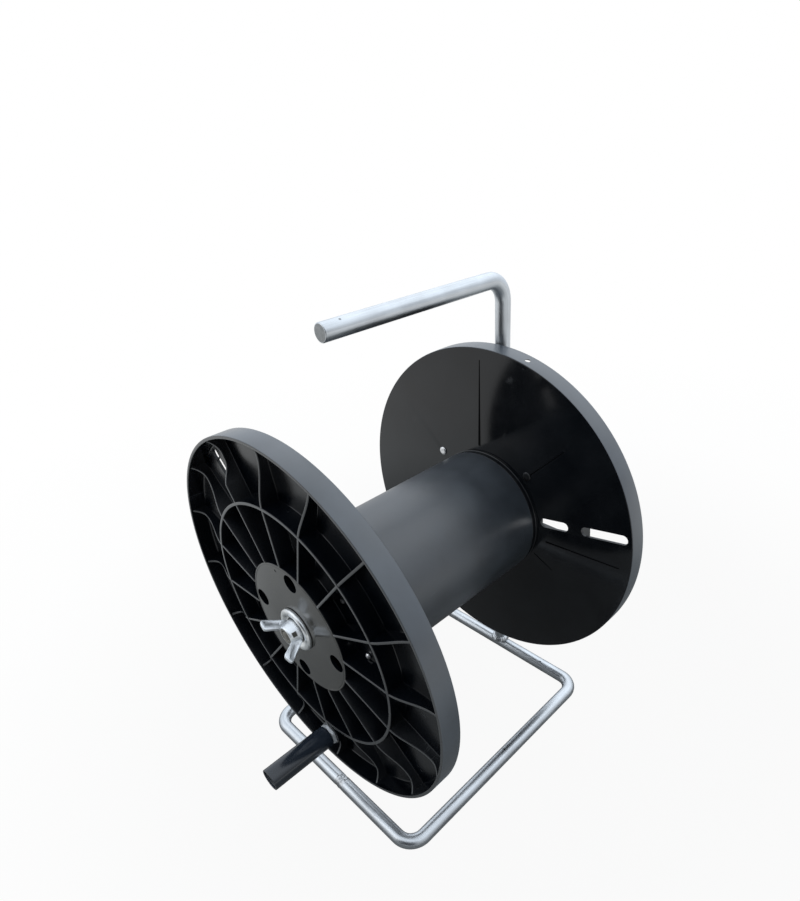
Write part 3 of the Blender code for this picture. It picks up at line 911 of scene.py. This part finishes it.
# Fine pale scratches, and the moulded mark near the rear flange.
# Each runs from one angle and place along the barrel to another.
scratches = (
    ((33.4, 0.0650), (32.6, 0.0664)), ((33.7, 0.0448), (35.1, 0.0533)),
    ((35.8, 0.0760), (31.6, 0.0771)), ((15.0, 0.0226), (14.0, 0.0236)),
    ((14.4, -0.0203), (15.7, -0.0132)), ((9.2, -0.0328), (10.0, -0.0249)),
    ((93.7, 0.0550), (93.0, 0.0562)), ((88.4, 0.0324), (88.0, 0.0336)),
    ((21.0, 0.0770), (-3.0, 0.0808)), ((20.5, 0.0786), (0.0, 0.0826)),
    ((-3.0, 0.0808), (0.0, 0.0826)),
)
scratchValues = {"half": 0.00022, "proud": 0.00007, "sunk": 0.0002, "steps": 6}


def addScratch(bm, start, end):
    v = scratchValues
    outer, sunk, proud = barrelValues["outer"], v["sunk"], v["proud"]
    turned, moved = end[0] - start[0], end[1] - start[1]
    run = Vector((turned * math.radians(1.0) * outer, moved)).normalized()
    rows = []
    for i in range(v["steps"] + 1):
        share = i / v["steps"]
        degrees = start[0] + turned * share
        along = start[1] + moved * share
        row = []
        for a, lift in zip((-1.0, -0.4, 0.4, 1.0), (-sunk, proud, proud, -sunk)):
            aside, shift = -run.y * a * v["half"], run.x * a * v["half"]
            row.append(around(degrees, outer + lift, along + shift, aside))
        rows.append(row)
    addRows(bm, rows)


def makeBarrel():
    v = barrelValues
    corners = [
        (v["inner"], -v["half"], 0.0003), (v["outer"], -v["half"], 0.0005),
        (v["outer"], v["half"], 0.0005), (v["inner"], v["half"], 0.0003),
    ]
    drum = turnedPiece("drum", softSection(corners), v["segments"], axleCentre)
    bm = bmesh.new()
    for start, end in scratches:
        addScratch(bm, start, end)
    joinInto(drum, toObject("barrelScratches", bm, axleCentre))
    dress(drum, "barrelBlack", "rimPaintedSheenAndScratches")
    skin = v["outer"] + scratchValues["proud"] * 0.4
    for face, reach, y in facesOf(drum):
        if reach > skin:
            face.material_index = 1
    fit(drum, "spool", "barrel", "barrel_black")


# A domed head on the barrel's side, the shank, and a smaller tail outside
def makeRivet(name, side, degrees, node, finish):
    v = rivetShape
    head, tail, gap = v["head"], v["tail"], v["gap"]
    tailBase = flangeValues["web"] + gap
    section = [(0.0004, -gap - v["headHigh"] + 0.0003)]
    for t in quarter(6)[1:]:
        high = v["headHigh"] * (0.25 + 0.75 * math.cos(t))
        section.append((head * (0.30 + 0.70 * math.sin(t)), -gap - high))
    section += [(head, -gap), (v["shank"], -gap), (v["shank"], tailBase)]
    for t in quarter(6):
        high = v["tailHigh"] * (0.15 + 0.85 * math.sin(t))
        section.append((tail * (0.35 + 0.65 * math.cos(t)), tailBase + high))
    section.append((tail * 0.25, tailBase + v["tailHigh"] * 0.6))
    section = [(r, side * (flangeValues["face"] + h)) for r, h in section]
    bm = bmesh.new()
    addLathed(bm, section, v["segments"], onDisc(v["circle"], degrees))
    rivet = toObject(name, bm, axleCentre, 40.0)
    fit(rivet, "spool", node, "rivet_aluminium", finish)


makeBarrel()
for word, flange in (("front", frontFlange), ("rear", rearFlange)):
    # The second rivet on each flange is painted dark, as shade
    for number, finish in ((1, "rivetBright"), (2, "rivetPaintedShade")):
        name, node = f"{word}Rivet{number}", f"{word}_rivet_{number}"
        makeRivet(name, flange["side"], flange["rivets"][number - 1], node, finish)
print("barrel and rivets made")


# The clamp

washerValues = {
    "bore": 0.0043, "seat": 0.1155, "sheet": 0.0013, "height": 0.0034, "groove": 0.0128,
    "outer": 0.0179, "fold": 0.0010, "ringPaintedShade": 0.0106, "segments": 96,
}


def makeWasher():
    v = washerValues
    high, sheet, groove, outer = v["height"], v["sheet"], v["groove"], v["outer"]
    fold = v["fold"]
    corners = [
        (v["bore"], 0.0, 0), (groove - fold, 0.0, 0.0006),
        (groove + fold, high - sheet, 0.0006), (outer - fold - sheet, high - sheet, 0.0006),
        (outer - sheet, 0.0, 0.0002), (outer, 0.0, 0.0003),
        (outer, high * 0.62, 0.0008), (outer - fold * 1.4, high, 0.0010),
        (groove + fold * 1.1, high, 0.0010), (groove - fold, sheet, 0.0008),
        (v["ringPaintedShade"], sheet, 0), (v["bore"], sheet, 0.0003),
    ]
    section = [(r, -(v["seat"] + h)) for r, h in softSection(corners, 5)]
    washer = turnedPiece("pressureWasher", section, v["segments"], axleCentre, 30.0)
    dress(washer, "washerZinc", "rivetPaintedShade")
    # The flat ring between the wing nut and the washer's fold is painted dark: painted shade
    for face, reach, y in facesOf(washer):
        if reach < v["ringPaintedShade"] and y < -(v["seat"] + sheet * 0.8):
            face.material_index = 1
    fit(washer, "clamp", "pressure_washer", "washer_zinc")


wingNutValues = {
    "base": 0.1171, "bore": 0.0042, "baseRadius": 0.0092, "baseHeight": 0.0016,
    "topRadius": 0.0074, "bossHeight": 0.0092, "angle": 150.8, "span": 0.0200, "height": 0.0193,
    "thickness": 0.0034, "panelDepth": 0.0005, "edgeRound": 0.00040, "segments": 64,
}
# Outlines of a wing and of its sunk panel, as shares of the wing's reach and height
wingShape = (
    (0.275, 0.052), (0.48, 0.062), (0.54, 0.114), (0.68, 0.342),
    (0.83, 0.591), (0.95, 0.756), (0.99, 0.845), (0.97, 0.920),
    (0.87, 0.968), (0.73, 0.99), (0.63, 0.985), (0.58, 0.933),
    (0.49, 0.756), (0.41, 0.611), (0.36, 0.508), (0.275, 0.404),
)
panelShape = (
    (0.605, 0.300), (0.870, 0.745), (0.865, 0.785), (0.790, 0.845),
    (0.755, 0.835), (0.485, 0.425), (0.490, 0.390), (0.570, 0.300),
)
imprintValues = {
    "angle": 25.0, "height": 0.0052, "half": 0.0020, "squash": 0.85, "from": 0.0072,
    "through": 0.004,
}


# A slab that stands across one wing, between two distances from its middle
def wingSlab(bm, turn, shape, low, high):
    v = wingNutValues
    degrees = v["angle"] + turn
    spots = [(a * v["span"], -(v["base"] + b * v["height"])) for a, b in shape]
    addRows(bm, [[around(degrees, out, y, shift) for out, y in spots] for shift in (low, high)])


def makeWings():
    v = wingNutValues
    half = v["thickness"] / 2.0
    inner = half - v["panelDepth"]
    bm = bmesh.new()
    panels = []
    for turn in (0.0, 180.0):
        wingSlab(bm, turn, wingShape, -half, half)
        for low, high in ((inner, half + 0.001), (-half - 0.001, -inner)):
            cut = bmesh.new()
            wingSlab(cut, turn, panelShape, low, high)
            panels.append(toObject("panelCutter", cut, axleCentre))
    wings = toObject("wingNutWings", bm, axleCentre, 30.0)
    applyCuts(wings, panels)
    soften = wings.modifiers.new("soften", "BEVEL")
    soften.width = v["edgeRound"]
    soften.segments = 3
    soften.limit_method = "ANGLE"
    soften.angle_limit = math.radians(30.0)
    applyCuts(wings, [])
    return wings


def imprintCutter():
    m = imprintValues
    half, middle = m["half"], wingNutValues["base"] + m["height"]
    spots = [(-(middle + b * half * m["squash"]), a * half) for a, b in square]
    reaches = (m["from"], m["from"] + m["through"])
    rows = [[around(m["angle"], reach, y, aside) for y, aside in spots] for reach in reaches]
    return rowsPiece("imprintCutter", rows, axleCentre)


# The turned boss with its square dent, and the two wings joined to it
def makeWingNut():
    v, m = wingNutValues, imprintValues
    wings = makeWings()
    corners = [
        (v["bore"], 0.0, 0), (v["baseRadius"], 0.0, 0.0003),
        (v["baseRadius"], v["baseHeight"], 0.0006), (v["topRadius"], v["bossHeight"], 0.0009),
        (v["bore"] + 0.0004, v["bossHeight"], 0.0003), (v["bore"], v["bossHeight"] - 0.0006, 0),
    ]
    section = [(r, -(v["base"] + h)) for r, h in softSection(corners, 5)]
    nut = turnedPiece("wingNut", section, v["segments"], axleCentre, 30.0)
    applyCuts(nut, [imprintCutter()])
    joinInto(nut, wings, 40.0)
    dress(nut, "wingNutZinc", "screwSteelPaintedShade")
    top = -(v["base"] + v["bossHeight"] - 0.0012)
    dent = v["base"] + m["height"]
    # The ring round the bore on top and the square dent are painted dark: painted shade
    for face, reach, y in facesOf(nut):
        inTop = reach < v["topRadius"] - 0.0013 and y < top
        inDent = reach < m["from"] + 0.0002 and abs(y + dent) < m["half"]
        if inTop or inDent and face.center.x > v["bore"]:
            face.material_index = 1
    fit(nut, "nut", "wing_nut", "wing_nut_zinc")


makeWasher()
makeWingNut()
print("clamp made")


# The crank

crankCentre = axleCentre + Vector(
    around(flangeValues["crankAngle"], flangeValues["crankCircle"], 0.0)
)
crankValues = {
    "nutBase": 0.1145, "nutFlats": 0.0170, "nutHeight": 0.0032, "nutTurn": 40.0,
    "nutCrown": 0.0082, "cornerShare": 1.145, "nutSteps": 72, "bolt": 0.0030,
    "boltStart": 0.1003, "boltSides": 36, "head": 0.0046, "headHeight": 0.0028,
}
gripValues = {
    "start": 0.1180, "length": 0.0583, "radius": 0.0095, "wall": 0.0014, "recess": 0.0080,
    "tube": 0.0063, "tubeWall": 0.0012, "tubeInset": 0.0012, "bore": 0.0033, "segments": 80,
}


# A hexagon nut, its corners cut back by a cone, with slightly broken edges
def makeCrankNut():
    v = crankValues
    base, top, crown = v["nutBase"], v["nutBase"] + v["nutHeight"], v["nutCrown"]
    bore = v["bolt"] + 0.0003
    flat = v["nutFlats"] / 2.0
    step = 360.0 / v["nutSteps"]
    rows = []
    for i in range(v["nutSteps"]):
        reach = flat / math.cos(math.radians((step * i) % 60.0 - 30.0))
        reach = min(reach, flat * v["cornerShare"])
        section = [
            (bore, base), (reach - 0.0003, base),
            (reach, base + 0.0003), (reach, top - (reach - crown) * 0.5),
            (crown, top), (bore + 0.0005, top),
            (bore, top - 0.0005),
        ]
        rows.append([around(v["nutTurn"] + step * i, r, -h) for r, h in section])
    nut = rowsPiece("crankNut", rows, crankCentre, 18.0, True)
    # The nut takes the pale zinc: painted light
    fit(nut, "spool", "crank_nut", "crank_nut_zinc", "crankNutPaintedLight")


def makeCrankBolt():
    v = crankValues
    floor = gripValues["start"] + gripValues["length"] - gripValues["recess"] + 0.0003
    top = floor + v["headHeight"]
    head = v["head"]
    section = [
        (v["bolt"] - 0.0004, v["boltStart"]), (v["bolt"], v["boltStart"] + 0.0004),
        (v["bolt"], floor), (head, floor),
        (head, top - 0.0006), (head - 0.0003, top - 0.0002),
        (head - 0.0009, top), (head * 0.55, top),
        (head * 0.50, top - 0.0009),
    ]
    bm = bmesh.new()
    addLathed(bm, [(r, -h) for r, h in section], v["boltSides"])
    bolt = toObject("crankBolt", bm, crankCentre, 30.0)
    # The bolt down in the grip's recess takes the dark zinc: painted shade
    fit(bolt, "spool", "crank_bolt", "crank_bolt_zinc", "screwSteelPaintedShade")


# A hollow grip with a tube inside, and the rings of its open end painted paler, as highlight
def makeGrip():
    v = gripValues
    start, end = v["start"], v["start"] + v["length"]
    floor = end - v["recess"]
    radius, wall = v["radius"], v["radius"] - v["wall"]
    tube, tubeIn = v["tube"], v["tube"] - v["tubeWall"]
    tubeEnd = end - v["tubeInset"]
    corners = [
        (v["bore"], start, 0.0003), (radius - 0.0003, start, 0.0008),
        (radius, start + 0.006, 0.0006), (radius, end - 0.012, 0.0006),
        (radius, end, 0.0010), (wall, end, 0.0005),
        (wall - 0.0002, floor, 0.0004), (tube + 0.0001, floor, 0.0004),
        (tube, tubeEnd, 0.0004), (tubeIn, tubeEnd, 0.0004),
        (tubeIn, floor, 0.0003), (v["bore"], floor, 0.0002),
    ]
    section = [(r, -h) for r, h in softSection(corners)]
    grip = turnedPiece("crankGrip", section, v["segments"], crankCentre, 40.0)
    dress(grip, "gripBlack", "flangeBlack")
    # The open end's rings take the paler flange plastic: painted highlight
    for face, reach, y in facesOf(grip):
        if face.normal.y < -0.5 and y < v["tubeInset"] + 0.0006 - end:
            face.material_index = 1
    fit(grip, "grip", "crank_grip", "grip_black")


makeCrankNut()
makeCrankBolt()
makeGrip()
print("crank made")


# Floor, light and camera

stageValues = {
    "floorSize": 30.0, "floorPaintedShadowNear": (0.17, 0.167, 0.158), "floorFar": (0.54, 0.525, 0.49),
    "floorFrom": 0.28, "floorTo": 0.62, "whiteNear": 0.94, "whiteFrom": 0.35, "whiteTo": 1.10,
    "mirroredNear": 0.04, "mirroredFar": 0.75, "skyMirrored": 0.4,
    "skyFront": (0.16, 0.18, 0.21), "skyBack": (1.05, 1.16, 1.30), "skyTop": (1.35, 1.49, 1.65),
    "skyHeading": (0.66, 0.75), "skySpread": (-0.55, 0.45), "skyRise": (0.15, 0.75),
}


def farFromMiddle(tree):
    place = addNode(tree, "TexCoord").outputs["Object"]
    return addNode(tree, "VectorMath", {0: place}, {"operation": "LENGTH"}).outputs["Value"]


def mirroredRay(tree, path):
    return calc(tree, "MAXIMUM", path.outputs["Is Glossy Ray"], path.outputs["Is Transmission Ray"])


def blendInto(tree, kind, share, first, second):
    sockets = {0: share, 1: first.outputs[0], 2: second.outputs[0]}
    addNode(tree, kind, {"Surface": addNode(tree, "MixShader", sockets).outputs[0]})


def emptyTree(owner):
    owner.use_nodes = True
    owner.node_tree.nodes.clear()
    return owner.node_tree


# How much of the plain white a ray sees: all of it far off, less close by and in mirrored light
def seenShare(tree):
    v = stageValues
    path = addNode(tree, "LightPath")
    reach = farFromMiddle(tree)
    straight = remap(tree, reach, v["whiteFrom"], v["whiteTo"], v["whiteNear"], 1.0)
    straight = calc(tree, "MULTIPLY", straight, path.outputs["Is Camera Ray"])
    near, far = v["mirroredNear"], v["mirroredFar"]
    reflected = remap(tree, reach, v["whiteFrom"], v["whiteTo"], near, far)
    reflected = calc(tree, "MULTIPLY", mirroredRay(tree, path), reflected)
    return calc(tree, "MAXIMUM", straight, reflected)


def makeFloor():
    v = stageValues
    bm = bmesh.new()
    half = v["floorSize"] / 2.0
    bm.faces.new([bm.verts.new((x * half, y * half, 0.0)) for x, y in square])
    floor = toObject("floor", bm)
    material = bpy.data.materials.new("floorPale")
    tree = emptyTree(material)
    # The floor's colour darkens close to the object: a painted shadow, seen in reflections and in
    # the light the floor throws back
    tone = remap(tree, farFromMiddle(tree), v["floorFrom"], v["floorTo"])
    matt = addNode(tree, "BsdfDiffuse", {"Color": tint(tree, tone, v["floorPaintedShadowNear"], v["floorFar"])})
    white = addNode(tree, "Emission", {"Strength": 1.0})
    blendInto(tree, "OutputMaterial", seenShare(tree), matt, white)
    floor.data.materials.append(material)


# A soft sky, brightest overhead and to the back left, and plain white for the camera
def makeSky():
    v = stageValues
    scene.world = bpy.data.worlds.new("studio")
    tree = emptyTree(scene.world)
    place = addNode(tree, "TexCoord").outputs["Generated"]
    split = addNode(tree, "SeparateXYZ", {0: place})
    left, back = v["skyHeading"]
    backPart = calc(tree, "MULTIPLY", split.outputs["Y"], back)
    away = calc(tree, "SUBTRACT", backPart, calc(tree, "MULTIPLY", split.outputs["X"], left))
    level = tint(tree, remap(tree, away, *v["skySpread"]), v["skyFront"], v["skyBack"])
    rise = remap(tree, split.outputs["Z"], *v["skyRise"])
    colour = tint(tree, rise, level, v["skyTop"])
    dome = addNode(tree, "Background", {"Color": colour, "Strength": 1.0})
    white = addNode(tree, "Background", {"Color": (1.0, 1.0, 1.0), "Strength": 1.0})
    path = addNode(tree, "LightPath")
    mirrored = calc(tree, "MULTIPLY", mirroredRay(tree, path), v["skyMirrored"])
    share = calc(tree, "MAXIMUM", path.outputs["Is Camera Ray"], mirrored)
    blendInto(tree, "OutputWorld", share, dome, white)


# A dark board behind the camera, seen only in reflections
boardValues = {
    "at": (0.52, -1.12, 0.62), "aim": (0.0, -0.12), "size": (1.40, 1.24),
    "colour": (0.02, 0.02, 0.022), "rough": 0.9,
}


def makeBoard():
    v = boardValues
    across, high = v["size"][0] / 2.0, v["size"][1] / 2.0
    x, y = v["aim"]
    heading = Vector((x - v["at"][0], y - v["at"][1], 0.0)).normalized()
    side = Vector((-heading.y, heading.x, 0.0))
    corners = [side * (a * across) + Vector((0.0, 0.0, b * high)) for a, b in square]
    bm = bmesh.new()
    bm.faces.new([bm.verts.new(point) for point in corners])
    board = toObject("darkBoard", bm, v["at"])
    material, tree, shader, place = startMaterial("boardBlack", 0.0, 0.0)
    paler = tuple(1.6 * c for c in v["colour"])
    cloth = tint(tree, cloud(tree, place, 40.0, 3.0), v["colour"], paler)
    paint(tree, shader, cloth, v["rough"])
    board.data.materials.append(material)
    board.visible_camera = False
    board.visible_diffuse = False
    board.visible_shadow = False


lampValues = {
    "backSoftbox": {
        "at": (-0.25, 1.10, 1.55), "aim": (0.0, -0.15, 0.2),
        "size": (3.0, 1.4), "power": 5.5, "colour": (0.90, 0.95, 1.0),
    },
    "frontFill": {
        "at": (-0.9, -1.6, 1.2), "aim": (0.0, -0.12, 0.15),
        "size": (1.4, 1.2), "power": 4.0, "colour": (1.0, 0.99, 0.96),
    },
}


def makeLamps():
    for name, v in lampValues.items():
        data = bpy.data.lights.new(name, "AREA")
        data.shape = "RECTANGLE"
        data.size, data.size_y = v["size"]
        data.energy = v["power"]
        data.color = v["colour"]
        lamp = bpy.data.objects.new(name, data)
        scene.collection.objects.link(lamp)
        lamp.location = v["at"]
        heading = Vector(v["aim"]) - Vector(v["at"])
        lamp.rotation_euler = heading.to_track_quat("-Z", "Y").to_euler()


cameraValues = {
    "at": (0.30587, -0.38205, 0.48378), "right": (0.70029, 0.70989, -0.07523),
    "up": (-0.37387, 0.45448, 0.80850), "back": (0.60813, -0.53806, 0.58367), "lens": 23.05,
    "sensor": 36.0, "shift": (-0.0225, 0.1168), "clip": (0.01, 20.0),
}


def makeCamera():
    v = cameraValues
    data = bpy.data.cameras.new("camera")
    data.sensor_width = v["sensor"]
    data.sensor_fit = "AUTO"
    data.lens = v["lens"]
    data.shift_x, data.shift_y = v["shift"]
    data.clip_start, data.clip_end = v["clip"]
    camera = bpy.data.objects.new("camera", data)
    scene.collection.objects.link(camera)
    turn = Matrix((v["right"], v["up"], v["back"])).transposed().to_4x4()
    camera.matrix_world = Matrix.Translation(v["at"]) @ turn
    scene.camera = camera


makeFloor()
makeSky()
makeBoard()
makeLamps()
makeCamera()
scene.view_settings.view_transform = "Standard"
print("floor, light and camera set")
